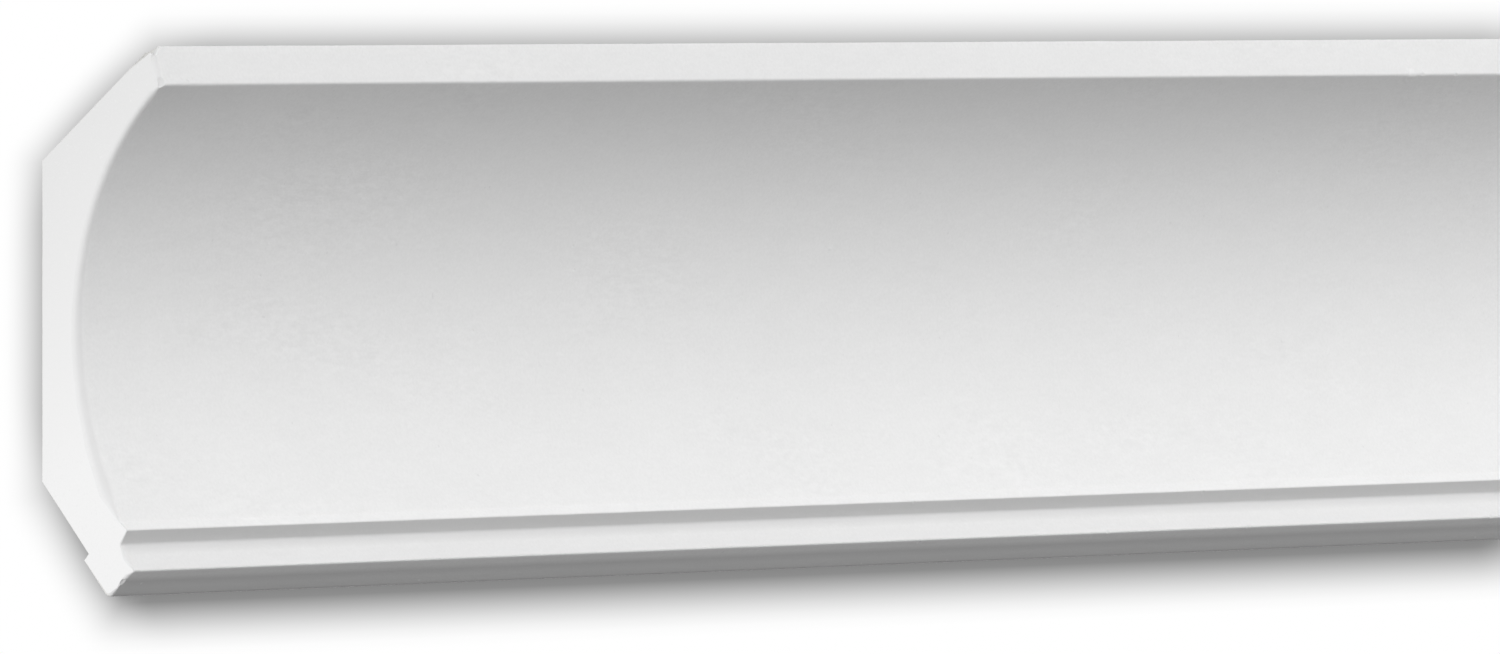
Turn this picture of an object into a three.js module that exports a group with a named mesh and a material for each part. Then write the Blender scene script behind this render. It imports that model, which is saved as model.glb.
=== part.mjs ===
// A length of cove crown moulding, cast in rigid foam with a thin white primed skin.
// It is glued into the corner between a wall and a ceiling, and both its ends are sawn square.
//
// Sizes are in millimetres. X runs along the moulding, Y points into the wall and Z into the ceiling.
// The origin is the middle of the face that is glued to the ceiling, at mid length.
//
// The cross-section is drawn in two measures: how far a point stands out from the wall,
// and how far it lies down from the ceiling.
import * as THREE from 'three';

// Overall sizes: the projection is to the sharp edge of the lip, the drop to the lowest point of the toe
const LENGTH = 1000;
const PROJECTION = 99;
const DROP = 100;

// Ceiling face and the lip that hangs from its front edge
const CEILING_FACE_WIDTH = 46.6;
const LIP_HEIGHT = 9.85;
const LIP_LEAN = 3.6;
const LIP_TOP_ROUND = 0.25;
const LIP_FOOT_ROUND = 0.9;

// Cove: an arc of an ellipse, from the foot of the lip down to the nose
const COVE_HALF_WIDTH = 81.8;
const COVE_HALF_HEIGHT = 90.8;
const COVE_TOP_OUT = 96.5;
const COVE_TOP_DOWN = 9.9;
const COVE_END_DOWN = 87;
const COVE_STEPS = 44;

// Nose under the cove, and the step that runs back from it to the fascia
const NOSE_OUT = 16.3;
const NOSE_DOWN = 90.3;
const NOSE_ROUND = 0.5;
const STEP_DEPTH = 4.1;
const STEP_FALL = 1.5;
const STEP_FILLET = 0.9;

// Fascia and foot
const FASCIA_LEAN = 0.5;
const FASCIA_FOOT_DOWN = 99.8;
const FASCIA_FOOT_ROUND = 0.6;
const CREASE_OUT = 6.7;
const CREASE_DOWN = 99.45;
const TOE_ROUND = 2;

// Wall side: the flat that is glued to the wall, and the relief hollowed out above it
const WALL_FACE_TOP_DOWN = 87.5;
const RELIEF_DEPTH_LOW = 2.2;
const RELIEF_DEPTH_HIGH = 1.4;
const RELIEF_SHOULDER_FALL = 0.4;
const RELIEF_TOP_DOWN = 63.4;

// How finely a rounded corner is drawn
const ROUND_STEPS = 4;

/** A corner of the cross-section, rounded off by a circular arc where round is given. */
function corner(out, down, round = 0) {
  return { point: new THREE.Vector2(out, down), round };
}

/** Points along the cove, from under the lip to just above the nose. */
function coveCorners() {
  const centreDown = COVE_TOP_DOWN + COVE_HALF_HEIGHT;
  const startAngle = Math.asin((COVE_TOP_OUT - (PROJECTION - LIP_LEAN)) / COVE_HALF_WIDTH);
  const endAngle = Math.acos((centreDown - COVE_END_DOWN) / COVE_HALF_HEIGHT);
  const corners = [];
  for (let step = 1; step <= COVE_STEPS; step += 1) {
    const angle = startAngle + ((endAngle - startAngle) * step) / COVE_STEPS;
    const out = COVE_TOP_OUT - COVE_HALF_WIDTH * Math.sin(angle);
    const down = centreDown - COVE_HALF_HEIGHT * Math.cos(angle);
    corners.push(corner(out, down));
  }
  return corners;
}

/** The whole cross-section, from the ceiling face round the front to the wall and back. */
function sectionCorners() {
  const stepBackOut = NOSE_OUT - STEP_DEPTH;
  const stepBackDown = NOSE_DOWN + STEP_FALL;
  const undersideFall = (DROP - CREASE_DOWN) / (CREASE_OUT - TOE_ROUND);
  const toeDown = CREASE_DOWN + undersideFall * CREASE_OUT;
  return [
    corner(PROJECTION - CEILING_FACE_WIDTH, 0),
    corner(PROJECTION, 0, LIP_TOP_ROUND),
    corner(PROJECTION - LIP_LEAN, LIP_HEIGHT, LIP_FOOT_ROUND),
    ...coveCorners(),
    corner(NOSE_OUT, NOSE_DOWN, NOSE_ROUND),
    corner(stepBackOut, stepBackDown, STEP_FILLET),
    corner(stepBackOut - FASCIA_LEAN, FASCIA_FOOT_DOWN, FASCIA_FOOT_ROUND),
    corner(CREASE_OUT, CREASE_DOWN),
    corner(0, toeDown, TOE_ROUND),
    corner(0, WALL_FACE_TOP_DOWN),
    corner(RELIEF_DEPTH_LOW, WALL_FACE_TOP_DOWN - RELIEF_SHOULDER_FALL),
    corner(RELIEF_DEPTH_HIGH, RELIEF_TOP_DOWN),
  ];
}

/** The arc that rounds off one corner, or the bare corner where it stays sharp. */
function roundedPoints(before, here, after) {
  if (here.round === 0) return [here.point];
  const toBefore = before.point.clone().sub(here.point).normalize();
  const toAfter = after.point.clone().sub(here.point).normalize();
  const halfAngle = Math.acos(toBefore.dot(toAfter)) / 2;
  const tangentLength = here.round / Math.tan(halfAngle);
  const start = here.point.clone().addScaledVector(toBefore, tangentLength);
  const end = here.point.clone().addScaledVector(toAfter, tangentLength);
  const toCentre = toBefore.clone().add(toAfter).normalize();
  const centre = here.point.clone().addScaledVector(toCentre, here.round / Math.sin(halfAngle));
  const firstAngle = start.clone().sub(centre).angle();
  let sweep = end.clone().sub(centre).angle() - firstAngle;
  if (sweep > Math.PI) sweep -= 2 * Math.PI;
  if (sweep < -Math.PI) sweep += 2 * Math.PI;
  const points = [];
  for (let step = 0; step <= ROUND_STEPS; step += 1) {
    const angle = firstAngle + (sweep * step) / ROUND_STEPS;
    const spoke = new THREE.Vector2(Math.cos(angle), Math.sin(angle)).multiplyScalar(here.round);
    points.push(spoke.add(centre));
  }
  return points;
}

/** The cross-section as a shape in the room's upright plane: its x is Y and its y is Z. */
function sectionShape() {
  const corners = sectionCorners();
  const ceilingFaceMiddle = PROJECTION - CEILING_FACE_WIDTH / 2;
  const points = corners.flatMap((here, index) => {
    const before = corners.at(index - 1);
    const after = corners[(index + 1) % corners.length];
    return roundedPoints(before, here, after);
  });
  return new THREE.Shape(points.map((p) => new THREE.Vector2(ceilingFaceMiddle - p.x, -p.y)));
}

/** White primer over foam, dull all over. */
function primedFoam() {
  const material = new THREE.MeshStandardMaterial({ color: 0xe9e9e7, roughness: 0.75, metalness: 0 });
  material.name = 'primed_foam';
  return material;
}

/** The moulding itself: its cross-section, extruded and laid along X. */
function crownMoulding() {
  const geometry = new THREE.ExtrudeGeometry(sectionShape(), { depth: LENGTH, bevelEnabled: false });
  const mesh = new THREE.Mesh(geometry, primedFoam());
  mesh.name = 'cove_crown_moulding';
  const alongWall = new THREE.Vector3(1, 0, 0);
  const intoWall = new THREE.Vector3(0, 1, 0);
  const intoCeiling = new THREE.Vector3(0, 0, 1);
  mesh.setRotationFromMatrix(new THREE.Matrix4().makeBasis(intoWall, intoCeiling, alongWall));
  mesh.position.x = -LENGTH / 2;
  return mesh;
}

const part = new THREE.Group();
part.name = 'crown_moulding_length';
part.add(crownMoulding());

export default part;
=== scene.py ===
# %% [markdown]
# # A length of cove crown moulding
#
# The object is one straight length of cove moulding, which is glued into the corner between a
# wall and a ceiling. The real one is rigid foam, cast in a long mould, with a thin white primer
# on its show side, and sawn square at both ends. It is a single piece, so the care goes into
# its edges, its skin and its light.
#
# Everything is in metres. X runs along the moulding, Y points into the wall and Z into the
# ceiling, and the origin is the middle of the face that is glued to the ceiling.

import math
from collections import namedtuple

import bmesh
import bpy
from mathutils import Matrix, Vector
from mathutils.bvhtree import BVHTree


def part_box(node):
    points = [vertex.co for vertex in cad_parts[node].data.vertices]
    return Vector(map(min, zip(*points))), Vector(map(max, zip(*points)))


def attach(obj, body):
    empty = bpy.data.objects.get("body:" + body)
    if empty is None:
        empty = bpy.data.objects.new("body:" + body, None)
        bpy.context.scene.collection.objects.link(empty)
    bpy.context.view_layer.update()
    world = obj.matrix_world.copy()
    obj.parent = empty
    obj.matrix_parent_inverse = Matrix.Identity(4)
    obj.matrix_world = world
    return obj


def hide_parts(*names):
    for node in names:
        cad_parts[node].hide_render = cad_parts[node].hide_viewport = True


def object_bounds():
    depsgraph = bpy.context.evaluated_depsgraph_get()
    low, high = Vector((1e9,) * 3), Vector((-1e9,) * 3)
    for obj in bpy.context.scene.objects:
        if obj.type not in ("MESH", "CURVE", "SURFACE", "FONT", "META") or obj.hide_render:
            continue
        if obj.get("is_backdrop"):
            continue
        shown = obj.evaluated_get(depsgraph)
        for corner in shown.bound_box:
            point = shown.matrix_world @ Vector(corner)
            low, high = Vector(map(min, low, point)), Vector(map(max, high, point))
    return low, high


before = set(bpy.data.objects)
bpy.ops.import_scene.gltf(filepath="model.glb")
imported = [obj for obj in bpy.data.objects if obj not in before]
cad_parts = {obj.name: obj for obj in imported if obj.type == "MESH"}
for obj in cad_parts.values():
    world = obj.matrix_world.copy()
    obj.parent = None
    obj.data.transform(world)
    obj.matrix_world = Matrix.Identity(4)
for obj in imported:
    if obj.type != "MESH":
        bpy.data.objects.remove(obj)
cad_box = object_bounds()

MM = 0.001
NODE = "cove_crown_moulding"
PIECE = "primed_cove_moulding"
low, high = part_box(NODE)
LENGTH = high.x - low.x
WALL_Y = high.y
print(f"the length is {LENGTH:.3f} m, and the wall stands at y = {WALL_Y / MM:.1f} mm")

# %% [markdown]
# ## The section, as it is drawn on paper
#
# A moulding begins as a drawing of its cross-section, in two measures: how far a point stands
# out from the wall, and how far it lies down from the ceiling. The sizes below are the ones
# that a mould maker would write on it.
#
# The section could also be read off the solid in the frame. Drawing it again is better here:
# the cove can have many more points, and each point can carry notes on its finish.

# %% Sizes of the section
PROJECTION = 99 * MM
DROP = 100 * MM

CEILING_FACE_WIDTH = 46.6 * MM
LIP_HEIGHT = 9.85 * MM
LIP_LEAN = 3.6 * MM
LIP_TOP_ROUND = 0.25 * MM
LIP_FOOT_ROUND = 0.9 * MM

COVE_HALF_WIDTH = 81.8 * MM
COVE_HALF_HEIGHT = 90.8 * MM
COVE_TOP_OUT = 96.5 * MM
COVE_TOP_DOWN = 9.9 * MM
COVE_END_DOWN = 87 * MM

NOSE_OUT = 16.3 * MM
NOSE_DOWN = 90.3 * MM
NOSE_ROUND = 0.5 * MM
STEP_DEPTH = 4.1 * MM
STEP_FALL = 1.5 * MM
STEP_FILLET = 0.9 * MM
# The depth of the band of painted shade just below the step.
SHADE_BELOW_STEP = 3.2 * MM

FASCIA_LEAN = 0.5 * MM
FASCIA_FOOT_DOWN = 99.8 * MM
FASCIA_FOOT_ROUND = 0.6 * MM
CREASE_OUT = 6.7 * MM
CREASE_DOWN = 99.45 * MM
TOE_ROUND = 2 * MM

WALL_FACE_TOP_DOWN = 87.5 * MM
RELIEF_DEPTH_LOW = 2.2 * MM
RELIEF_DEPTH_HIGH = 1.4 * MM
RELIEF_SHOULDER_FALL = 0.4 * MM
RELIEF_TOP_DOWN = 63.4 * MM

print(f"the section is {PROJECTION / MM:.0f} mm out by {DROP / MM:.0f} mm down")

# %% [markdown]
# Each corner of the drawing is noted with the radius that rounds it off, and with how bare or
# shaded the stretch is that starts there. The glued faces and the hidden back are bare foam. The
# show side is primed, from the lip down to the toe. It is painted greyer, as painted shade,
# under the nose, in a band just below the step, on the underside of the foot next to the wall
# and, a little, on the rest of the fascia.

# %% Corners of the section
COVE_POINTS = 88
BARE = 1.0
# How much painted shade each stretch of the show side carries; bare foam is 1.
SHADE_UNDER_NOSE = 0.7
SHADE_UNDER_FOOT = 0.85
SHADE_ON_FASCIA = 0.15
Corner = namedtuple("Corner", "place round bare")


def corner(out, down, round=0.0, bare=0.0):
    return Corner(Vector((out, down)), round, bare)


def cove_corners():
    """The cove is an arc of an ellipse, from the foot of the lip to just above the nose."""
    centre_down = COVE_TOP_DOWN + COVE_HALF_HEIGHT
    start = math.asin((COVE_TOP_OUT - (PROJECTION - LIP_LEAN)) / COVE_HALF_WIDTH)
    end = math.acos((centre_down - COVE_END_DOWN) / COVE_HALF_HEIGHT)
    corners = []
    for step in range(1, COVE_POINTS + 1):
        angle = start + (end - start) * step / COVE_POINTS
        out = COVE_TOP_OUT - COVE_HALF_WIDTH * math.sin(angle)
        down = centre_down - COVE_HALF_HEIGHT * math.cos(angle)
        corners.append(corner(out, down))
    return corners


def section_corners():
    """The whole section, from the ceiling face round the front to the wall and back."""
    step_back_out = NOSE_OUT - STEP_DEPTH
    step_back_down = NOSE_DOWN + STEP_FALL
    underside_fall = (DROP - CREASE_DOWN) / (CREASE_OUT - TOE_ROUND)
    toe_down = CREASE_DOWN + underside_fall * CREASE_OUT
    shadow_share = SHADE_BELOW_STEP / (FASCIA_FOOT_DOWN - step_back_down)
    shadow_out = step_back_out - FASCIA_LEAN * shadow_share
    shadow_down = step_back_down + SHADE_BELOW_STEP
    return [
        corner(PROJECTION - CEILING_FACE_WIDTH, 0, bare=BARE),
        corner(PROJECTION, 0, LIP_TOP_ROUND),
        corner(PROJECTION - LIP_LEAN, LIP_HEIGHT, LIP_FOOT_ROUND),
        *cove_corners(),
        corner(NOSE_OUT, NOSE_DOWN, NOSE_ROUND, SHADE_UNDER_NOSE),
        corner(step_back_out, step_back_down, STEP_FILLET, SHADE_UNDER_NOSE),
        corner(shadow_out, shadow_down, bare=SHADE_ON_FASCIA),
        corner(step_back_out - FASCIA_LEAN, FASCIA_FOOT_DOWN, FASCIA_FOOT_ROUND),
        corner(CREASE_OUT, CREASE_DOWN, bare=SHADE_UNDER_FOOT),
        corner(0, toe_down, TOE_ROUND, BARE),
        corner(0, WALL_FACE_TOP_DOWN, bare=BARE),
        corner(RELIEF_DEPTH_LOW, WALL_FACE_TOP_DOWN - RELIEF_SHOULDER_FALL, bare=BARE),
        corner(RELIEF_DEPTH_HIGH, RELIEF_TOP_DOWN, bare=BARE),
    ]


corners = section_corners()
BACK, LIP_TOP, NOSE, TOE, WALL_FACE_TOP, RELIEF_TOP = 0, 1, -9, -4, -3, -1
print(f"the section has {len(corners)} corners, {COVE_POINTS} of them along the cove")

# %% [markdown]
# The corners become an outline. A rounded corner turns into a short arc, and a corner with no
# radius is sharp wherever the outline really turns there. The straight stretches get points
# in between: every two millimetres on the show side, so that the skin can be made uneven
# later, and far fewer at the back.

# %% Points of the outline
ARC_STEPS = 6
PRIMED_SPACING = 2 * MM
BARE_SPACING = 10 * MM
SHARP_TURN = math.radians(15)
OutlinePoint = namedtuple("OutlinePoint", "place bare round sharp")


def beside(number):
    """The corners before and after one of them."""
    return corners[number - 1].place, corners[(number + 1) % len(corners)].place


def is_sharp(number):
    before, after = beside(number)
    here = corners[number].place
    return not corners[number].round and (here - before).angle(after - here) > SHARP_TURN


def bend(number):
    """The places that the outline takes at one corner: an arc, or the corner itself."""
    before, after = beside(number)
    here = corners[number]
    if not here.round:
        return [here.place]
    to_before = (before - here.place).normalized()
    to_after = (after - here.place).normalized()
    half_angle = to_before.angle(to_after) / 2
    tangent = here.round / math.tan(half_angle)
    inward = (to_before + to_after).normalized()
    centre = here.place + inward * (here.round / math.sin(half_angle))
    spoke = here.place + to_before * tangent - centre
    sweep = -spoke.angle_signed(here.place + to_after * tangent - centre)
    return [
        centre + Matrix.Rotation(sweep * step / ARC_STEPS, 2) @ spoke
        for step in range(ARC_STEPS + 1)
    ]


def outline_points():
    """The outline, point by point. Along an arc, one stretch's finish fades into the next."""
    bends = [bend(number) for number in range(len(corners))]
    points = []
    for number, places in enumerate(bends):
        here = corners[number]
        change = here.bare - corners[number - 1].bare
        for step, place in enumerate(places, start=ARC_STEPS + 1 - len(places)):
            bare = here.bare - change * (ARC_STEPS - step) / ARC_STEPS
            points.append(OutlinePoint(place, bare, here.round, is_sharp(number)))
        stretch = bends[(number + 1) % len(bends)][0] - places[-1]
        spacing = BARE_SPACING if here.bare == BARE else PRIMED_SPACING
        parts = max(1, round(stretch.length / spacing))
        for part in range(1, parts):
            place = places[-1] + stretch * part / parts
            points.append(OutlinePoint(place, here.bare, 0, False))
    return points


points = outline_points()
print(f"the outline has {len(points)} points, {sum(p.sharp for p in points)} of them sharp")

# %% [markdown]
# Two more notes go on each point. One is the outward direction, square to the outline: every
# later push follows it. The other is how far the saw-cut arris may be worn back at each end.
# In the middle of a primed face it can be wide, the wider the nearer it is to the nose. It stays
# crisp where shade is painted on or the foam is bare, and at a tight corner, where a wide one
# would make the faces cross. From there it may only widen slowly.
#
# The outline is kept as a mesh of edges, which can carry such notes on its points as
# attributes. An old-style curve can't.

# %% Notes on the outline
ARRIS_AT_LIP = 1.3 * MM
ARRIS_AT_NOSE = 3.2 * MM
ARRIS_AT_SHARP_CORNER = 0.22 * MM
ARRIS_WHERE_SHADED_OR_BARE = 0.25 * MM
ARRIS_SHARE_OF_ROUND = 0.45
ARRIS_GROWTH = 0.32


def arris_limit(point):
    """The widest arris that the point itself allows."""
    if point.sharp:
        return ARRIS_AT_SHARP_CORNER
    if point.round:
        return point.round * ARRIS_SHARE_OF_ROUND
    if point.bare > SHADE_ON_FASCIA:
        return ARRIS_WHERE_SHADED_OR_BARE
    return ARRIS_AT_LIP + (ARRIS_AT_NOSE - ARRIS_AT_LIP) * point.place.y / DROP


def arris_at(place):
    """The widest arris that all the points around allow at this place."""
    return min(arris_limit(p) + ARRIS_GROWTH * (place - p.place).length for p in points)


def outward_at(number):
    along = points[(number + 1) % len(points)].place - points[number - 1].place
    return Vector((along.y, -along.x, 0)).normalized()


def note(mesh, name, values):
    mesh.attributes.new(name, "FLOAT", "POINT").data.foreach_set("value", values)


def in_scene(name, data):
    """A new object, linked to the scene."""
    thing = bpy.data.objects.new(name, data)
    bpy.context.scene.collection.objects.link(thing)
    return thing


arrises = [arris_at(point.place) for point in points]
section = bpy.data.meshes.new("section_outline")
ring = [(number, (number + 1) % len(points)) for number in range(len(points))]
section.from_pydata([(*point.place, 0) for point in points], ring, [])
note(section, "bare", [point.bare for point in points])
note(section, "sharp", [float(point.sharp) for point in points])
note(section, "arris", arrises)
outward = section.attributes.new("outward", "FLOAT_VECTOR", "POINT")
for number, value in enumerate(outward.data):
    value.vector = outward_at(number)

moulding = in_scene(PIECE, section)
print(f"the arris may wear {min(arrises) / MM:.2f} to {max(arrises) / MM:.2f} mm wide")

# %% [markdown]
# ## Helpers for node trees
#
# Both the sweep and the materials are node trees. A tree built in a script is easiest to read
# when adding a node and wiring it up is one short line. These helpers do that: an input is
# given either a plain value or another node's output.

# %% Helpers for node trees
NOISE_MIDDLE = 0.5


def grey(value):
    return value, value, value, 1


class Wiring:
    """Adds nodes to one tree, and wires or sets their inputs as they come."""

    def __init__(self, tree):
        self.tree = tree
        self.tree.nodes.clear()

    def feed(self, socket, value):
        if isinstance(value, bpy.types.NodeSocket):
            self.tree.links.new(value, socket)
        else:
            socket.default_value = value

    def node(self, kind, inputs=None, **options):
        node = self.tree.nodes.new(kind)
        for name, value in options.items():
            setattr(node, name, value)
        for name, value in (inputs or {}).items():
            self.feed(node.inputs[name], value)
        return node

    def out(self, kind, inputs=None, **options):
        """The first output of a new node. Most nodes have only that one."""
        return self.node(kind, inputs, **options).outputs[0]

    def maths(self, operation, *values, clamp=False):
        inputs = dict(enumerate(values))
        return self.out("ShaderNodeMath", inputs, operation=operation, use_clamp=clamp)

    def times(self, *values):
        return self.maths("MULTIPLY", *values)

    def minus(self, *values):
        return self.maths("SUBTRACT", *values)

    def measured(self, operation, *vectors):
        """The number that two vectors give together, such as their distance."""
        node = self.node("ShaderNodeVectorMath", dict(enumerate(vectors)), operation=operation)
        return node.outputs["Value"]

    def vector(self, **parts):
        return self.out("ShaderNodeCombineXYZ", parts)

    def noise(self, vector, size, seed, detail=2.0):
        """Smooth noise, around its middle value, whose lumps are about `size` across."""
        is_input = isinstance(size, bpy.types.NodeSocket)
        scale = self.maths("DIVIDE", 1.0, size) if is_input else 1 / size
        inputs = {"Vector": vector, "W": seed, "Scale": scale, "Detail": detail}
        return self.out("ShaderNodeTexNoise", inputs, noise_dimensions="4D")


def wiring_of(data):
    """The wiring of a new material or world."""
    data.use_nodes = True
    return Wiring(data.node_tree)


# %% [markdown]
# ## Three finishes
#
# The same foam shows three skins. The show side is primed: dull white, with the finest grain,
# faint ripples where the mould release dragged, and here and there a speck. The sawn ends show
# the cut cells of the foam and the track of the blade. The back and the glued faces are bare,
# a shade darker and rougher, because nobody sees them on the wall.
#
# Each finish could be a picture wrapped on the mesh. Noise worked out at each point in space
# is better here: it has no seams, and it can be as fine as the grain of real primer. Bump only
# carries what is far too small to model. The same noise also mottles the colour by a few
# hundredths, as primer does where it gathers.

# %% Helpers for finishes
def start_finish(name):
    """A new material, its wiring and the point's own place on the piece."""
    material = bpy.data.materials.new(name)
    wiring = wiring_of(material)
    return material, wiring, wiring.node("ShaderNodeTexCoord").outputs["Object"]


def end_finish(wiring, colour, roughness, normal):
    """The shader that shows a finish, and the material's output."""
    inputs = {"Base Color": colour, "Roughness": roughness, "Normal": normal}
    shader = wiring.out("ShaderNodeBsdfPrincipled", inputs)
    wiring.node("ShaderNodeOutputMaterial", {"Surface": shader})


def stretched(wiring, place, along):
    """The same place, with the pattern drawn out along the moulding."""
    inputs = {"Vector": place, "Scale": (1 / along, 1, 1)}
    return wiring.out("ShaderNodeMapping", inputs)


def bumped(wiring, height, depth, below=None):
    """A bump whose full height is `depth` metres, laid over the one below it."""
    inputs = {"Height": height, "Distance": depth, "Strength": 1.0}
    if below:
        inputs["Normal"] = below
    return wiring.out("ShaderNodeBump", inputs)


def tinted(wiring, amount, plain, tint):
    """A colour that goes from plain to tint as amount goes from 0 to 1."""
    inputs = {"Factor": amount, "A": plain, "B": tint}
    node = wiring.node("ShaderNodeMix", data_type="RGBA")
    for name, value in inputs.items():
        socket = next(s for s in node.inputs if s.name == name and s.enabled)
        wiring.feed(socket, value)
    return next(s for s in node.outputs if s.enabled)


def ranged(wiring, value, start, end, low=0.0, high=1.0):
    """Takes start..end to low..high, and holds the ends."""
    inputs = {"Value": value, "From Min": start, "From Max": end, "To Min": low, "To Max": high}
    return wiring.out("ShaderNodeMapRange", inputs)


# %% The primed finish
PRIMER = grey(0.92)
PRIMER_SHADOWED = grey(0.866)
# Painted shade under the nose, below the step and under the foot.
PRIMER_PAINTED_SHADE = grey(0.66)
# The darker arris and chips: partly wear, partly painted shade that keeps them from shining.
PRIMER_WORN_AND_SHADED = grey(0.77)
SPECK = grey(0.83)

GRAIN_SIZE = 0.8 * MM
GRAIN_DEPTH = 0.02 * MM
RIPPLE_SIZE = 1.4 * MM
RIPPLE_STRETCH = 2.6
RIPPLE_DEPTH = 0.12 * MM
PEEL_SIZE = 4.5 * MM
PEEL_DEPTH = 0.06 * MM
CLOUD_SIZE = 30 * MM
SPECK_SIZE = 1.6 * MM
GRAIN_SEED, RIPPLE_SEED, PATCH_SEED, PEEL_SEED, CLOUD_SEED, SPECK_SEED = range(1, 7)
PATCH_EDGE = (0.5, 0.66)
SPECK_EDGE = (0.83, 0.87)
CLOUD_EDGE = (0.35, 0.65)
PRIMER_ROUGHNESS = (0.62, 0.72)

GRAIN_SHARE = 1.6
RIPPLE_SHARE = 1.6
PEEL_SHARE = 0.5
CLOUD_SHARE = 0.4
MOTTLE_RANGE = 0.38
DRAG_PLACE = (-0.407, 0.017, -0.02)
DRAG_MIDDLE = 8 * MM
DRAG_REACH = 26 * MM


def dragged(wiring, drawn_out):
    """The one place where the mould release dragged most: 1 in its middle, 0 beyond it."""
    middle = (DRAG_PLACE[0] / RIPPLE_STRETCH, *DRAG_PLACE[1:])
    distance = wiring.measured("DISTANCE", drawn_out, middle)
    return ranged(wiring, distance, DRAG_REACH, DRAG_MIDDLE)


def primed_finish():
    material, wiring, place = start_finish("primed_skin")
    drawn_out = stretched(wiring, place, RIPPLE_STRETCH)
    patches = ranged(wiring, wiring.noise(drawn_out, CLOUD_SIZE, PATCH_SEED), *PATCH_EDGE)
    patches = wiring.maths("MAXIMUM", patches, dragged(wiring, drawn_out))
    grain = wiring.noise(place, GRAIN_SIZE, GRAIN_SEED)
    ripple = wiring.noise(drawn_out, RIPPLE_SIZE, RIPPLE_SEED)
    ripple = wiring.times(wiring.minus(ripple, NOISE_MIDDLE), patches)
    peel = wiring.noise(drawn_out, PEEL_SIZE, PEEL_SEED)
    clouds = wiring.noise(drawn_out, CLOUD_SIZE, CLOUD_SEED)
    normal = bumped(wiring, grain, GRAIN_DEPTH)
    normal = bumped(wiring, ripple, RIPPLE_DEPTH, normal)
    normal = bumped(wiring, peel, PEEL_DEPTH, normal)

    mottle = wiring.times(grain, GRAIN_SHARE)
    shares = ((ripple, RIPPLE_SHARE), (peel, PEEL_SHARE), (clouds, CLOUD_SHARE))
    for pattern, share in shares:
        mottle = wiring.maths("MULTIPLY_ADD", pattern, share, mottle)
    middle = NOISE_MIDDLE * (GRAIN_SHARE + PEEL_SHARE + CLOUD_SHARE)
    mottle = ranged(wiring, mottle, middle - MOTTLE_RANGE, middle + MOTTLE_RANGE)
    bare = wiring.node("ShaderNodeAttribute", attribute_name="bare").outputs["Fac"]
    worn = wiring.node("ShaderNodeAttribute", attribute_name="worn").outputs["Fac"]
    specks = wiring.noise(place, SPECK_SIZE, SPECK_SEED, detail=0.0)
    specks = ranged(wiring, specks, *SPECK_EDGE)
    colour = tinted(wiring, mottle, PRIMER, PRIMER_SHADOWED)
    # Painted shade under the nose, in the band below the step and under the foot.
    colour = tinted(wiring, bare, colour, PRIMER_PAINTED_SHADE)
    # The arris and chips are darkened: partly wear, partly painted shade.
    colour = tinted(wiring, worn, colour, PRIMER_WORN_AND_SHADED)
    colour = tinted(wiring, specks, colour, SPECK)
    roughness = ranged(wiring, clouds, *CLOUD_EDGE, *PRIMER_ROUGHNESS)
    end_finish(wiring, colour, roughness, normal)
    return material


# %% The sawn finish
SAWN = grey(0.885)
# The sawn end is painted greyer towards its top: painted shade, as the light on it falls off
# upwards.
SAWN_SHADED_AT_TOP = grey(0.775)
SAWN_TOP_Z = 5 * MM
SAWN_PALE_Z = -70 * MM
SAWN_CELL = grey(0.84)
CELL_SIZE = 0.35 * MM
CELL_DEPTH = 0.03 * MM
OPEN_CELL_SIZE = 2 * CELL_SIZE
BLADE_TRACK_SIZE = 0.9 * MM
BLADE_TRACK_STRETCH = 30
BLADE_TRACK_DEPTH = 0.01 * MM
BLADE_TILT = math.radians(38)
TRACK_SEED, OPEN_CELL_SEED = range(1, 3)
OPEN_CELL_EDGE = (0.6, 0.8)
SAWN_ROUGHNESS = (0.8, 0.95)


def sawn_finish():
    material, wiring, place = start_finish("sawn_foam")
    cells = wiring.out("ShaderNodeTexVoronoi", {"Vector": place, "Scale": 1 / CELL_SIZE})
    normal = bumped(wiring, cells, CELL_DEPTH)
    mapping = {
        "Vector": place,
        "Rotation": (BLADE_TILT, 0, 0),
        "Scale": (1, 1 / BLADE_TRACK_STRETCH, 1),
    }
    turned = wiring.out("ShaderNodeMapping", mapping)
    track = wiring.noise(turned, BLADE_TRACK_SIZE, TRACK_SEED)
    normal = bumped(wiring, track, BLADE_TRACK_DEPTH, normal)
    # Painted shade: the sawn end greys towards its top.
    height = wiring.node("ShaderNodeSeparateXYZ", {"Vector": place}).outputs["Z"]
    top = ranged(wiring, height, SAWN_PALE_Z, SAWN_TOP_Z)
    colour = tinted(wiring, top, SAWN, SAWN_SHADED_AT_TOP)
    open_cells = wiring.noise(place, OPEN_CELL_SIZE, OPEN_CELL_SEED)
    open_cells = ranged(wiring, open_cells, *OPEN_CELL_EDGE)
    colour = tinted(wiring, open_cells, colour, SAWN_CELL)
    end_finish(wiring, colour, ranged(wiring, open_cells, 0, 1, *SAWN_ROUGHNESS), normal)
    return material


# %% The bare finish
BARE_FOAM = (0.80, 0.795, 0.78, 1)
BARE_SHADOWED = (0.74, 0.735, 0.715, 1)
CRUMB_SIZE = 1.2 * MM
CRUMB_DEPTH = 0.08 * MM
CRUMB_DETAIL = 4.0
FLOW_SIZE = 14 * MM
FLOW_DEPTH = 0.25 * MM
FLOW_STRETCH = 3.0
SHADE_DETAIL = 5.0
SHADE_EDGE = (0.4, 0.62)
BARE_ROUGHNESS = (0.75, 0.9)
CRUMB_SEED, FLOW_SEED, SHADE_SEED = range(1, 4)


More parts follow.
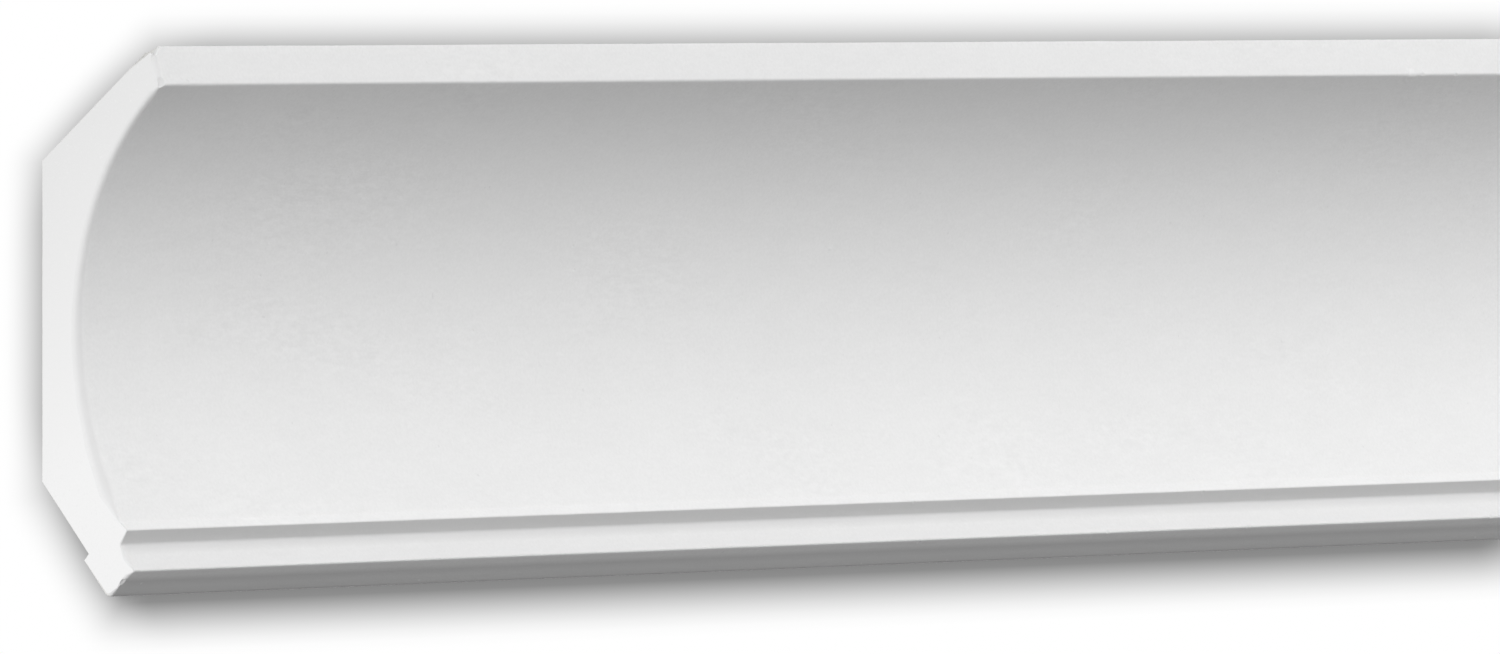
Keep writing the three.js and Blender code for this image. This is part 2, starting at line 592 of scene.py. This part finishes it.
def bare_finish():
    material, wiring, place = start_finish("bare_foam")
    drawn_out = stretched(wiring, place, FLOW_STRETCH)
    crumbs = wiring.noise(place, CRUMB_SIZE, CRUMB_SEED, CRUMB_DETAIL)
    normal = bumped(wiring, crumbs, CRUMB_DEPTH)
    flow = wiring.noise(drawn_out, FLOW_SIZE, FLOW_SEED)
    normal = bumped(wiring, flow, FLOW_DEPTH, normal)
    shade = wiring.noise(drawn_out, FLOW_SIZE, SHADE_SEED, SHADE_DETAIL)
    shade = ranged(wiring, shade, *SHADE_EDGE)
    colour = tinted(wiring, shade, BARE_FOAM, BARE_SHADOWED)
    end_finish(wiring, colour, ranged(wiring, shade, 0, 1, *BARE_ROUGHNESS), normal)
    return material


finishes = {"Primed": primed_finish(), "Sawn": sawn_finish(), "Bare": bare_finish()}
print(f"the finishes are {', '.join(material.name for material in finishes.values())}")

# %% [markdown]
# ## Sweeping the section along its run
#
# On the real thing, one section runs on unchanged from end to end, which is what a curve sweep
# does: Geometry Nodes carry the section along a straight run in the corner of wall and
# ceiling. The run's stations stand close together in the last few millimetres at each end,
# where the saw-cut arris is rounded, and further apart in between.
#
# The outline could also be extruded by hand and its ends bevelled. The sweep is chosen
# because its length, stations and wear stay named inputs that can be changed.

# %% Inputs of the sweep
SWEEP_INPUTS = {
    "Length": LENGTH,
    "Wall": WALL_Y,
    "Pitch": 2.4 * MM,
    "End Zone": 4.2 * MM,
    "End Stations": 16,
    "Arris Unevenness": 0.5,
    "Arris Lumps": 5 * MM,
    "Wave Height": 0.12 * MM,
    "Wave Size": 24 * MM,
    "Seed": 11,
    **finishes,
}
SOCKET_KINDS = {
    float: "NodeSocketFloat",
    int: "NodeSocketInt",
    bpy.types.Material: "NodeSocketMaterial",
}


def new_sweep_tree():
    tree = bpy.data.node_groups.new("sweep_moulding", "GeometryNodeTree")
    new_socket = tree.interface.new_socket
    new_socket("Section", in_out="INPUT", socket_type="NodeSocketGeometry")
    new_socket("Moulding", in_out="OUTPUT", socket_type="NodeSocketGeometry")
    for name, value in SWEEP_INPUTS.items():
        new_socket(name, in_out="INPUT", socket_type=SOCKET_KINDS[type(value)])
    return tree


sweep_tree = new_sweep_tree()
wiring = Wiring(sweep_tree)
given = wiring.node("NodeGroupInput").outputs
print(f"the sweep takes {', '.join(SWEEP_INPUTS)}")

# %% [markdown]
# A station's place follows from its number. Counted from the nearer end, the first ones share
# out the end zone by squares, so they crowd towards the cut. The others follow evenly.

# %% Stations of the run
def station_places(wiring, given):
    """How many stations there are, and the place of each one along X."""
    twice_zone = wiring.times(given["End Zone"], 2.0)
    middle = wiring.minus(given["Length"], twice_zone)
    steps = wiring.maths("ROUND", wiring.maths("DIVIDE", middle, given["Pitch"]))
    twice_end = wiring.times(given["End Stations"], 2.0)
    last = wiring.maths("ADD", steps, twice_end)
    number = wiring.out("GeometryNodeInputIndex")
    from_end = wiring.maths("MINIMUM", number, wiring.minus(last, number))
    in_zone = wiring.maths("MINIMUM", from_end, given["End Stations"])
    share = wiring.maths("DIVIDE", in_zone, given["End Stations"])
    zone_depth = wiring.times(given["End Zone"], wiring.maths("POWER", share, 2.0))
    beyond = wiring.minus(from_end, in_zone)
    pitch = wiring.maths("DIVIDE", middle, steps)
    depth = wiring.maths("MULTIPLY_ADD", beyond, pitch, zone_depth)
    half = wiring.times(given["Length"], 0.5)
    side = wiring.maths("SIGN", wiring.maths("MULTIPLY_ADD", last, -0.5, number))
    place = wiring.times(side, wiring.minus(half, depth))
    return wiring.maths("ADD", last, 1.0), place


def run_curve(wiring, given):
    count, place = station_places(wiring, given)
    line = wiring.out("GeometryNodeMeshLine", {"Count": count})
    inputs = {"Geometry": line, "Position": wiring.vector(X=place, Y=given["Wall"])}
    stations = wiring.out("GeometryNodeSetPosition", inputs)
    curve = wiring.out("GeometryNodeMeshToCurve", {"Mesh": stations})
    return wiring.out("GeometryNodeSetCurveNormal", {"Curve": curve}, mode="Z_UP")


run = run_curve(wiring, given)
print(f"the run takes {len(sweep_tree.nodes)} nodes")

# %% [markdown]
# The section lies flat, its first measure along X and its second along Y. With upright
# normals on a run along X, the sweep turns the first measure to point out from the wall and
# the second down from the ceiling, so the drawing lands in the room as it should.

# %% The swept solid
drawn = wiring.out("GeometryNodeMeshToCurve", {"Mesh": given["Section"]})
inputs = {"Curve": run, "Profile Curve": drawn, "Fill Caps": True}
swept = wiring.out("GeometryNodeCurveToMesh", inputs)


def noted(wiring, name, kind="FLOAT"):
    """One of the notes on the outline, which the sweep has spread over the solid."""
    return wiring.out("GeometryNodeInputNamedAttribute", {"Name": name}, data_type=kind)


print(f"the run and the sweep take {len(sweep_tree.nodes)} nodes")

# %% [markdown]
# Two small pushes bring the solid to life, both inwards, so it never grows past its true
# size. At each end the arris is rounded along a quarter circle, whose radius changes along
# the arris, as hand sanding leaves it. Over the length, the skin waves by about a tenth of a
# millimetre, as cast foam does, which only shows as slow changes in the shading.

# %% Worn arrises and their painted shade
# How the darkening of the arris, partly wear and partly painted shade, fades off the face and
# onto the cut.
WORN_OFF_FACE = (0.05, 0.45)
WORN_OFF_CUT = (1.0, 0.75)
CUT_SHADE_Z = (-70 * MM, -15 * MM)
CUT_SHADE = (0.4, 0.95)


def arris_push(wiring, given, x, y, z):
    """How far the end rounding takes a point in, and how much it is darkened: most in its
    middle. The darkening is partly wear and partly painted shade, which keeps the rounded arris
    from shining.

    Up at the lip the darkening goes on to the cut itself, because the sawn end is painted greyer
    there.
    """
    half = wiring.times(given["Length"], 0.5)
    depth = wiring.minus(half, wiring.maths("ABSOLUTE", x))
    around = wiring.vector(X=wiring.maths("SIGN", x), Y=y, Z=z)
    lumps = wiring.noise(around, given["Arris Lumps"], given["Seed"])
    uneven = wiring.minus(lumps, NOISE_MIDDLE)
    factor = wiring.maths("MULTIPLY_ADD", uneven, given["Arris Unevenness"], 1.0)
    radius = wiring.times(noted(wiring, "arris"), factor)
    into = wiring.maths("MAXIMUM", wiring.minus(radius, depth), 0.0)
    squares = wiring.times(radius, radius)
    left = wiring.maths("MULTIPLY_ADD", wiring.times(into, into), -1.0, squares)
    push = wiring.minus(radius, wiring.maths("SQRT", left))
    share = wiring.maths("DIVIDE", into, radius, clamp=True)
    from_face = ranged(wiring, share, *WORN_OFF_FACE)
    at_cut = ranged(wiring, z, *CUT_SHADE_Z, *CUT_SHADE)
    from_cut = ranged(wiring, share, *WORN_OFF_CUT, low=at_cut)
    return push, wiring.times(from_face, from_cut)


# %% A slightly uneven skin
WAVE_PACE_ALONG = 0.45
WAVE_SEED_SHIFT = 50
WAVE_DETAIL = 1.0


def wave_push(wiring, given, x, y, z):
    """How far the uneven skin lies under its true place."""
    place = wiring.vector(X=wiring.times(x, WAVE_PACE_ALONG), Y=y, Z=z)
    seed = wiring.maths("ADD", given["Seed"], WAVE_SEED_SHIFT)
    waves = wiring.noise(place, given["Wave Size"], seed, WAVE_DETAIL)
    return wiring.times(waves, given["Wave Height"])


def worn_and_waved(wiring, given, geometry):
    """The swept solid with both pushes, and with its wear noted on it."""
    place = wiring.out("GeometryNodeInputPosition")
    x, y, z = wiring.node("ShaderNodeSeparateXYZ", {"Vector": place}).outputs
    arris, worn = arris_push(wiring, given, x, y, z)
    inward = wiring.maths("ADD", arris, wave_push(wiring, given, x, y, z))
    outward = noted(wiring, "outward", "FLOAT_VECTOR")
    out, down, _ = wiring.node("ShaderNodeSeparateXYZ", {"Vector": outward}).outputs
    inputs = {"Vector": wiring.vector(Y=out, Z=down), "Scale": inward}
    offset = wiring.out("ShaderNodeVectorMath", inputs, operation="SCALE")
    inputs = {"Geometry": geometry, "Offset": offset}
    pushed = wiring.out("GeometryNodeSetPosition", inputs)
    inputs = {"Geometry": pushed, "Name": "worn", "Value": worn}
    options = {"data_type": "FLOAT", "domain": "POINT"}
    return wiring.out("GeometryNodeStoreNamedAttribute", inputs, **options)


worn_solid = worn_and_waved(wiring, given, swept)
print(f"with its wear, the tree takes {len(sweep_tree.nodes)} nodes")

# %% [markdown]
# Last come the edges and the finishes. The caps are the only faces with more than four
# corners, which is how the tree finds them. Edges along a sharp corner of the drawing are
# marked sharp, and the rest of the side is smooth. Realize Instances and Set Material close
# the tree, as the export needs.

# %% Edges and finishes
SIDE_FACE_CORNERS = 4
NEARLY_ALL = 0.9


def more_than(wiring, value, limit):
    options = {"data_type": "FLOAT", "operation": "GREATER_THAN"}
    return wiring.out("FunctionNodeCompare", {"A": value, "B": limit}, **options)


def finished(wiring, given, geometry):
    corner_count = wiring.out("GeometryNodeInputMeshFaceNeighbors")
    is_cap = more_than(wiring, corner_count, SIDE_FACE_CORNERS)
    is_bare = more_than(wiring, noted(wiring, "bare"), NEARLY_ALL)
    is_sharp_edge = more_than(wiring, noted(wiring, "sharp"), NEARLY_ALL)
    for domain, chosen in {"FACE": is_cap, "EDGE": is_sharp_edge}.items():
        inputs = {"Geometry": geometry, "Selection": chosen, "Shade Smooth": False}
        geometry = wiring.out("GeometryNodeSetShadeSmooth", inputs, domain=domain)
    geometry = wiring.out("GeometryNodeRealizeInstances", {"Geometry": geometry})
    for name, chosen in {"Primed": True, "Bare": is_bare, "Sawn": is_cap}.items():
        inputs = {"Geometry": geometry, "Selection": chosen, "Material": given[name]}
        geometry = wiring.out("GeometryNodeSetMaterial", inputs)
    return geometry


wiring.node("NodeGroupOutput", {"Moulding": finished(wiring, given, worn_solid)})
print(f"the whole tree takes {len(sweep_tree.nodes)} nodes")

# %% [markdown]
# The tree goes on the moulding as a modifier, and the result is turned into a plain mesh,
# as the export and the later steps need.

# %% Sweep the moulding
LITRES_PER_CUBIC_METRE = 1000


def sweep(piece, tree):
    modifier = piece.modifiers.new("sweep", "NODES")
    modifier.node_group = tree
    sockets = {item.name: item.identifier for item in tree.interface.items_tree}
    for name, value in SWEEP_INPUTS.items():
        modifier[sockets[name]] = value
    evaluated = piece.evaluated_get(bpy.context.evaluated_depsgraph_get())
    mesh = bpy.data.meshes.new_from_object(evaluated)
    piece.modifiers.clear()
    piece.data = mesh


sweep(moulding, sweep_tree)
moulding.data.name = PIECE


def describe(mesh):
    solid = bmesh.new()
    solid.from_mesh(mesh)
    open_edges = sum(not edge.is_manifold for edge in solid.edges)
    triangles = sum(len(face.verts) - 2 for face in solid.faces)
    litres = solid.calc_volume(signed=True) * LITRES_PER_CUBIC_METRE
    solid.free()
    print(f"{triangles} triangles, {open_edges} open edges, {litres:.3f} litres")


describe(moulding.data)
print([material.name for material in moulding.data.materials])

# %% [markdown]
# ## The camera
#
# The picture looks up at the moulding from its left end, from about five metres away through
# a very long lens, so that its edges hardly draw together. The camera comes before the marks
# on the skin, because each mark is placed where the picture shows it.
#
# The camera's place is worked out backwards: from the point it aims at, the distance, and the
# angles of its line of sight. It is also rolled, so the moulding lies level in the picture
# although the camera looks up at it.

# %% The camera
PICTURE_WIDTH = 1500
PICTURE_HEIGHT = 654
SENSOR_WIDTH = 36
LENS = 446.4
AIM = Vector((-0.21928, 0.04798, -0.03968))
AIM_DISTANCE = 4.92
SIGHT_AZIMUTH = math.radians(57.554)
SIGHT_ELEVATION = math.radians(21.973)
SIGHT_ROLL = math.radians(-31.895)
FARTHEST_SEEN = 100

sight = Vector(
    (
        math.sin(SIGHT_AZIMUTH) * math.cos(SIGHT_ELEVATION),
        math.cos(SIGHT_AZIMUTH) * math.cos(SIGHT_ELEVATION),
        math.sin(SIGHT_ELEVATION),
    )
)
level_right = sight.cross(Vector((0, 0, 1))).normalized()
roll = Matrix.Rotation(SIGHT_ROLL, 3, -sight)
picture_right = roll @ level_right
picture_up = picture_right.cross(sight)
eye = AIM - sight * AIM_DISTANCE

camera = in_scene("camera", bpy.data.cameras.new("camera"))
bpy.context.scene.camera = camera
camera.data.sensor_width = SENSOR_WIDTH
camera.data.lens = LENS
camera.data.clip_end = FARTHEST_SEEN
turned = Matrix((picture_right, picture_up, -sight)).transposed().to_4x4()
camera.matrix_world = Matrix.Translation(eye) @ turned
print(f"the camera stands at {tuple(round(part, 2) for part in eye)}")

# %% [markdown]
# Helpers go between the room and the picture: the pixel where a point of the room is seen, and
# the line of sight through a pixel. As a check, four corners of the sawn end are printed
# where the camera sees them.

# %% Between the room and the picture
FOCAL_PIXELS = LENS / SENSOR_WIDTH * PICTURE_WIDTH


def seen_at(point):
    """The pixel where a point of the room is seen."""
    ray = point - eye
    scale = FOCAL_PIXELS / ray.dot(sight)
    right = PICTURE_WIDTH / 2 + ray.dot(picture_right) * scale
    return Vector((right, PICTURE_HEIGHT / 2 - ray.dot(picture_up) * scale))


def line_of_sight(pixel):
    """The direction from the camera through a pixel."""
    right = pixel[0] - PICTURE_WIDTH / 2
    up = PICTURE_HEIGHT / 2 - pixel[1]
    return (sight * FOCAL_PIXELS + picture_right * right + picture_up * up).normalized()


def in_room_at(place, x):
    """A point of the section, set in the room at x along the moulding."""
    return Vector((x, WALL_Y - place[0], -place[1]))


def end_seen_at(number):
    """The pixel where a corner of the section is seen on the left end."""
    return seen_at(in_room_at(corners[number].place, -LENGTH / 2))


for name, number in {"back": BACK, "lip": LIP_TOP, "nose": NOSE, "toe": TOE}.items():
    pixel = end_seen_at(number)
    print(f"the {name} corner is seen at {pixel.x:.1f}, {pixel.y:.1f}")

# %% [markdown]
# ## Marks on the skin and chips on the edges
#
# The picture shows a few pits in the cove, nicks along the lip and the fascia, dots near the
# sawn end, and chips where the saw left a corner. Each mark is listed with the pixel where it
# is seen, its width and its depth. A negative depth makes a crumb that stands proud. A chip is
# a bite out of an edge, as if a ball had been pressed in, so it has the radius of the ball and
# a direction as well.
#
# Marks could be scattered at random instead. Since the picture shows fewer than forty, each
# in a place of its own, a list is shorter and truer.

# %% The list of marks
Mark = namedtuple("Mark", "pixel width depth")
PIT_SIZE = (1.0 * MM, 0.16 * MM)
NICK_SIZE = (1.3 * MM, 0.2 * MM)
DOT_SIZE = (0.8 * MM, 0.2 * MM)

PITS = [
    (260, 276), (574, 270), (573, 246), (479, 150), (539, 137), (473, 331), (899, 122),
    (891, 311), (889, 436), (872, 467), (1427, 270), (1343, 148), (1278, 172),
]
EDGE_NICKS = [
    (1491, 516.5), (919, 542), (1108, 532), (1248, 527), (914, 502), (1203, 492), (1423, 74),
    (1456, 74.5),
]
DOTS = [
    (181, 79), (186, 80), (192, 79), (118, 503), (128, 506), (135, 502), (122, 511),
]
CRUMB_IN_COVE = Mark((830, 249), width=1.5 * MM, depth=-0.22 * MM)
BURR_ON_LIP = Mark((1413, 75), width=4.5 * MM, depth=-0.4 * MM)
DENT_BY_BURR = Mark((1409, 68.5), width=1.6 * MM, depth=0.12 * MM)
HOLLOW_IN_COVE = Mark((1439, 477), width=3 * MM, depth=0.05 * MM)
HOLE_BY_CHIP = Mark((153, 55), width=1 * MM, depth=0.35 * MM)
marks = [
    *(Mark(pixel, *PIT_SIZE) for pixel in PITS),
    *(Mark(pixel, *NICK_SIZE) for pixel in EDGE_NICKS),
    *(Mark(pixel, *DOT_SIZE) for pixel in DOTS),
    *(CRUMB_IN_COVE, BURR_ON_LIP, DENT_BY_BURR, HOLLOW_IN_COVE, HOLE_BY_CHIP),
]

# Each chip also darkens its facets: painted shade, so they don't shine where they face the
# light.
Chip = namedtuple("Chip", "pixel radius depth towards worn")
CHIP_AT_LIP_TOP = Chip((151.5, 48.5), 6 * MM, 1.7 * MM, towards=(-1, -1, 1), worn=0.5)
CHIP_AT_LIP_FOOT = Chip((163, 83), 6 * MM, 0.5 * MM, towards=(-1, -1, -0.7), worn=0.8)
CHIP_AT_TOE = Chip((123.5, 582), 1.2 * MM, 0.35 * MM, towards=(-1, 0, -1), worn=0.5)
chips = [CHIP_AT_LIP_TOP, CHIP_AT_LIP_FOOT, CHIP_AT_TOE]
print(f"the picture shows {len(marks)} marks and {len(chips)} chips")

# %% [markdown]
# The sweep's own faces are too coarse for a mark a millimetre wide. So the long edges around
# each mark are split first, and then the points are pushed in. A pit has a smooth bottom and
# a slightly raised rim, as a burst bubble in foam does.

# %% Finding and refining the skin around a mark
FINE_EDGE = 0.5 * MM
FINE_CUTS = 6
REACH = 2.0


def hits(skin, things):
    """Where the line of sight of each mark or chip meets the moulding."""
    found = [(thing, skin.ray_cast(eye, line_of_sight(thing.pixel))[0]) for thing in things]
    return [(thing, place) for thing, place in found if place]


def is_sawn(face):
    return len(face.verts) > SIDE_FACE_CORNERS


def refine(solid, skin, reaches):
    """Splits the long edges within reach of each place."""
    solid.faces.ensure_lookup_table()
    near = set()
    for place, reach in reaches:
        near.update(found[2] for found in skin.find_nearest_range(place, reach))
    faces = [solid.faces[number] for number in near if not is_sawn(solid.faces[number])]
    edges = {edge for face in faces for edge in face.edges if edge.calc_length() > FINE_EDGE}
    edges -= {edge for edge in edges if any(is_sawn(face) for face in edge.link_faces)}
    bmesh.ops.subdivide_edges(solid, edges=list(edges), cuts=FINE_CUTS, use_grid_fill=True)


# %% Pressing marks and chips
RIM_AT = 1.2
RIM_WIDTH = 0.25
RIM_SHARE = 0.25
ON_THE_CUT = 0.001 * MM


def dent(distance, mark):
    """How deep a mark is at a distance from its middle. The rim comes out negative."""
    share = distance / (mark.width / 2)
    bottom = mark.depth * (1 - share * share) ** 2 if share < 1 else 0
    rim = abs(mark.depth) * RIM_SHARE * math.exp(-(((share - RIM_AT) / RIM_WIDTH) ** 2))
    return bottom - rim


def press_mark(solid, mark, place):
    """Pushes the skin in around a place, along the outward direction of each point."""
    outward = solid.verts.layers.float_vector["outward"]
    for vert in solid.verts:
        distance = (vert.co - place).length
        if distance < mark.width / 2 * REACH:
            out, down, _ = vert[outward]
            vert.co -= Vector((0, -out, -down)) * dent(distance, mark)


def press_chip(solid, chip, place):
    """Presses a ball into an edge. Points of the sawn face stay in its plane."""
    worn = solid.verts.layers.float["worn"]
    towards = Vector(chip.towards).normalized()
    centre = place + towards * (chip.radius - chip.depth)
    for vert in solid.verts:
        spoke = vert.co - centre
        if spoke.length < chip.radius:
            moved = centre + spoke.normalized() * chip.radius
            on_cut = LENGTH / 2 - abs(vert.co.x) < ON_THE_CUT
            # The chip's facets are darkened as painted shade, but not the points on the cut.
            vert[worn] = max(vert[worn], 0 if on_cut else chip.worn)
            vert.co = Vector((vert.co.x if on_cut else moved.x, moved.y, moved.z))


# %% Press in the marks
def press_all(mesh, marks, chips):
    solid = bmesh.new()
    solid.from_mesh(mesh)
    skin = BVHTree.FromBMesh(solid)
    placed_marks = hits(skin, marks)
    placed_chips = hits(skin, chips)
    reaches = [(place, mark.width / 2 * REACH) for mark, place in placed_marks]
    reaches += [(place, chip.radius) for chip, place in placed_chips]
    refine(solid, skin, reaches)
    for mark, place in placed_marks:
        press_mark(solid, mark, place)
    for chip, place in placed_chips:
        press_chip(solid, chip, place)
    solid.to_mesh(mesh)
    solid.free()
    print(f"{len(placed_marks)} marks and {len(placed_chips)} chips were placed")


press_all(moulding.data, marks, chips)
describe(moulding.data)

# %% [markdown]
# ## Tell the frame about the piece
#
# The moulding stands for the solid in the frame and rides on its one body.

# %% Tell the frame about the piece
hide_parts(NODE)
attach(moulding, "root")

# %% [markdown]
# ## The backdrop
#
# In the picture, the moulding floats on white with a soft grey halo, slid a little to the
# right and down, as a shadow on a sheet of paper would be. It ends with the picture on the
# right. The halo isn't part of the object, but it sets the pale edges off from the paper, so
# the stage keeps it.
#
# A real lamp could throw such a shadow, but it would also change the light on the moulding.
# So the shadow is painted on a board behind it: for each point of the board, the script works
# out how far outside the moulding's outline the camera sees it, in pixels. The board is seen
# from the front only, and it throws no light.

# %% The outline that throws the shadow
def at_border(number):
    """Where the edge that runs from a corner of the section leaves the picture."""
    start = end_seen_at(number)
    end = seen_at(in_room_at(corners[number].place, LENGTH / 2))
    return start.lerp(end, (PICTURE_WIDTH - start.x) / (end.x - start.x))


def silhouette():
    """The outline of the moulding in the picture, as pixels, in order."""
    left = [end_seen_at(number) for number in (BACK, LIP_TOP, TOE, WALL_FACE_TOP, RELIEF_TOP)]
    return [*left[:2], at_border(LIP_TOP), at_border(TOE), *left[2:]]


outline = silhouette()
sides = list(zip(outline, outline[1:] + outline[:1]))
print(f"the moulding's outline in the picture has {len(sides)} sides")

# %% How light the paper is
HALO_SLIDE = Vector((8.2, 9.4))
HALO_DARK_SIDE = -35.5
HALO_LIGHT_SIDE = 49
HALO_DARKEST = 0.235


def distance_out(pixel):
    """How far a pixel lies outside the outline, or inside it where negative."""
    nearest = math.inf
    inside = False
    for start, end in sides:
        side = end - start
        share = (pixel - start).dot(side) / side.length_squared
        nearest = min(nearest, (start + side * min(max(share, 0), 1) - pixel).length)
        if (start.y > pixel.y) != (end.y > pixel.y):
            crossing = start.x + side.x * (pixel.y - start.y) / side.y
            inside ^= pixel.x < crossing
    return -nearest if inside else nearest


def shade_at(distance):
    """How dark the shadow is at a distance outside its edge: 1 is the darkest."""
    share = (distance - HALO_DARK_SIDE) / (HALO_LIGHT_SIDE - HALO_DARK_SIDE)
    share = min(max(share, 0), 1)
    return 1 - share * share * (3 - 2 * share)


def brightness(pixel):
    """How light the paper is at this pixel.

    A blurred shadow is rounder at a corner than its sharp outline, but not as round as the
    product of its sides, each blurred by itself. The mean of the two comes close.
    """
    pixel = pixel - HALO_SLIDE
    product = 1.0
    for start, end in sides:
        outwards = Vector((end.y - start.y, start.x - end.x)).normalized()
        product *= shade_at((pixel - start).dot(outwards))
    return max(HALO_DARKEST, 1 - (product + shade_at(distance_out(pixel))) / 2)


print(f"next to the toe, the paper's light is {brightness(end_seen_at(TOE)):.2f}")

# %% The board
BOARD_GAP = 5 * MM
BOARD_LENGTH = 3.2
BOARD_HEIGHT = 2.2
BOARD_FINE_LENGTH = 1.3
BOARD_FINE_HEIGHT = 0.46
BOARD_SPACING = 2.5 * MM

back_corner, relief_corner = corners[BACK].place, corners[RELIEF_TOP].place
back_flat = (back_corner - relief_corner).normalized()
board_up = Vector((0, -back_flat.x, -back_flat.y))
board_out = Vector((0, -board_up.z, board_up.y))
board_centre = in_room_at((back_corner + relief_corner) / 2, 0) - board_out * BOARD_GAP
print(f"the board faces {tuple(round(part, 3) for part in board_out)}")


def places_along(total, fine):
    """Places across the board: close together in the middle, and one more at each end."""
    steps = round(fine / BOARD_SPACING)
    middle = [fine * (step / steps - 0.5) for step in range(steps + 1)]
    return [-total / 2, *middle, total / 2]


def backdrop_board():
    across = places_along(BOARD_LENGTH, BOARD_FINE_LENGTH)
    upwards = places_along(BOARD_HEIGHT, BOARD_FINE_HEIGHT)
    places = [board_centre + board_up * up + Vector((x, 0, 0)) for up in upwards for x in across]
    row = len(across)
    faces = []
    for number in range(len(places) - row):
        if (number + 1) % row:
            faces.append((number, number + 1, number + row + 1, number + row))
    mesh = bpy.data.meshes.new("backdrop_board")
    mesh.from_pydata(places, [], faces)
    note(mesh, "light", [brightness(seen_at(place)) for place in places])
    return in_scene("backdrop_board", mesh)


# %% Paper that only the camera sees
def only_for_camera(thing):
    """Lets the camera see something that gives no light and throws no shadow."""
    for ray in ("diffuse", "glossy", "transmission", "volume_scatter", "shadow"):
        setattr(thing, f"visible_{ray}", False)


def one_sided_glow(name, colour):
    """A glow on the front faces. The back faces are clear."""
    material = bpy.data.materials.new(name)
    wiring = wiring_of(material)
    if isinstance(colour, str):
        colour = wiring.node("ShaderNodeAttribute", attribute_name=colour).outputs["Color"]
    glow = wiring.out("ShaderNodeEmission", {"Color": colour})
    clear = wiring.out("ShaderNodeBsdfTransparent")
    from_behind = wiring.node("ShaderNodeNewGeometry").outputs["Backfacing"]
    shown = wiring.out("ShaderNodeMixShader", {0: from_behind, 1: glow, 2: clear})
    wiring.node("ShaderNodeOutputMaterial", {"Surface": shown})
    return material


board = backdrop_board()
board.data.materials.append(one_sided_glow("backdrop_paper", "light"))
only_for_camera(board)
board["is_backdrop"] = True
print(f"the board has {len(board.data.vertices)} points")

# %% [markdown]
# Far below lies a plain pale floor. The picture looks upwards and doesn't show it: it is
# there for the views from above.

# %% The floor
FLOOR_SIZE = 12
FLOOR_Z = -2.4
FLOOR_PALE = grey(0.66)


def pale_floor():
    half = FLOOR_SIZE / 2
    square = [(-half, -half), (half, -half), (half, half), (-half, half)]
    mesh = bpy.data.meshes.new("pale_floor")
    mesh.from_pydata([(x, y, FLOOR_Z) for x, y in square], [], [(0, 1, 2, 3)])
    mesh.materials.append(one_sided_glow("floor_paper", FLOOR_PALE))
    return in_scene("pale_floor", mesh)


floor = pale_floor()
only_for_camera(floor)
floor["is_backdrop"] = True
print(f"the floor lies {-FLOOR_Z:.1f} m below the ceiling face")

# %% [markdown]
# ## The light
#
# The shading in the picture is very soft: the sawn end, the lip and the fascia are nearly as
# light as paper, and only what looks down is grey. So the light comes level from the front
# and from the left, and hardly any comes from below. One more patch, behind and above, keeps
# the back and the far end out of the dark.
#
# Lamps alone would leave a bright line on every arris. A white tent has no edges, so the tent
# is the world itself: a sum of soft patches, each fading with the angle from its middle, the
# faster the sharper it is. One soft box stands near the far end, because the moulding gets
# slowly lighter towards that end.

# %% The light tent
TENT_EVEN = 0.03
LEFT = Vector((-1, 0, 0))
FRONT = Vector((0.342, -0.94, 0))
BEHIND_AND_ABOVE = Vector((0.62, 0.55, 0.56))
Patch = namedtuple("Patch", "towards strength sharpness")
TENT_PATCHES = [
    Patch(LEFT, strength=0.65, sharpness=1),
    Patch(LEFT, strength=1.65, sharpness=4),
    Patch(FRONT, strength=6.55, sharpness=20),
    Patch(BEHIND_AND_ABOVE, strength=1.9, sharpness=6),
]
BEYOND_THE_STAGE = grey(0.66)


def light_tent():
    world = bpy.data.worlds.new("light_tent")
    wiring = wiring_of(world)
    direction = wiring.node("ShaderNodeTexCoord").outputs["Generated"]
    brightness = TENT_EVEN
    for patch in TENT_PATCHES:
        cosine = wiring.measured("DOT_PRODUCT", direction, patch.towards.normalized())
        soft = wiring.maths("POWER", wiring.maths("MAXIMUM", cosine, 0.0), patch.sharpness)
        brightness = wiring.maths("MULTIPLY_ADD", soft, patch.strength, brightness)
    tent = wiring.out("ShaderNodeBackground", {"Color": grey(1), "Strength": brightness})
    beyond = wiring.out("ShaderNodeBackground", {"Color": BEYOND_THE_STAGE})
    to_camera = wiring.node("ShaderNodeLightPath").outputs["Is Camera Ray"]
    shown = wiring.out("ShaderNodeMixShader", {0: to_camera, 1: tent, 2: beyond})
    wiring.node("ShaderNodeOutputWorld", {"Surface": shown})
    return world


bpy.context.scene.world = light_tent()
bpy.context.scene.view_settings.view_transform = "Standard"
print(f"the tent has {len(TENT_PATCHES)} patches")

# %% The soft box
BOX_PLACE = Vector((0.5, -1.1, -0.4))
BOX_AIM = Vector((0.05, 0.03, -0.05))
BOX_SIZE = 0.8
BOX_BRIGHTNESS = 1.04

box_light = bpy.data.lights.new("soft_box", "AREA")
box_light.shape = "SQUARE"
box_light.size = BOX_SIZE
box_light.energy = math.pi * BOX_SIZE**2 * BOX_BRIGHTNESS
soft_box = in_scene("soft_box", box_light)
soft_box.location = BOX_PLACE
soft_box.rotation_euler = (BOX_AIM - BOX_PLACE).to_track_quat("-Z", "Y").to_euler()
soft_box.visible_camera = False
print(f"the soft box gives {box_light.energy:.2f} W")

# %% [markdown]
# ## Check the size
#
# The boxes of the solid and of what is shown are both worked out, and the largest difference is
# printed. The look may not change the size of the object.

# %% Check the size
def corner_list(box):
    return [[float(part) for part in end] for end in box]


sizes = {"cad_box": corner_list(cad_box), "visual_box": corner_list(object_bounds())}
(cad_low, cad_high), (seen_low, seen_high) = sizes.values()
grown = [far - near for far, near in zip(cad_low + seen_high, seen_low + cad_high)]
print(f"the piece stands {max(grown) / MM:.3f} mm proud of the solid's box at most")
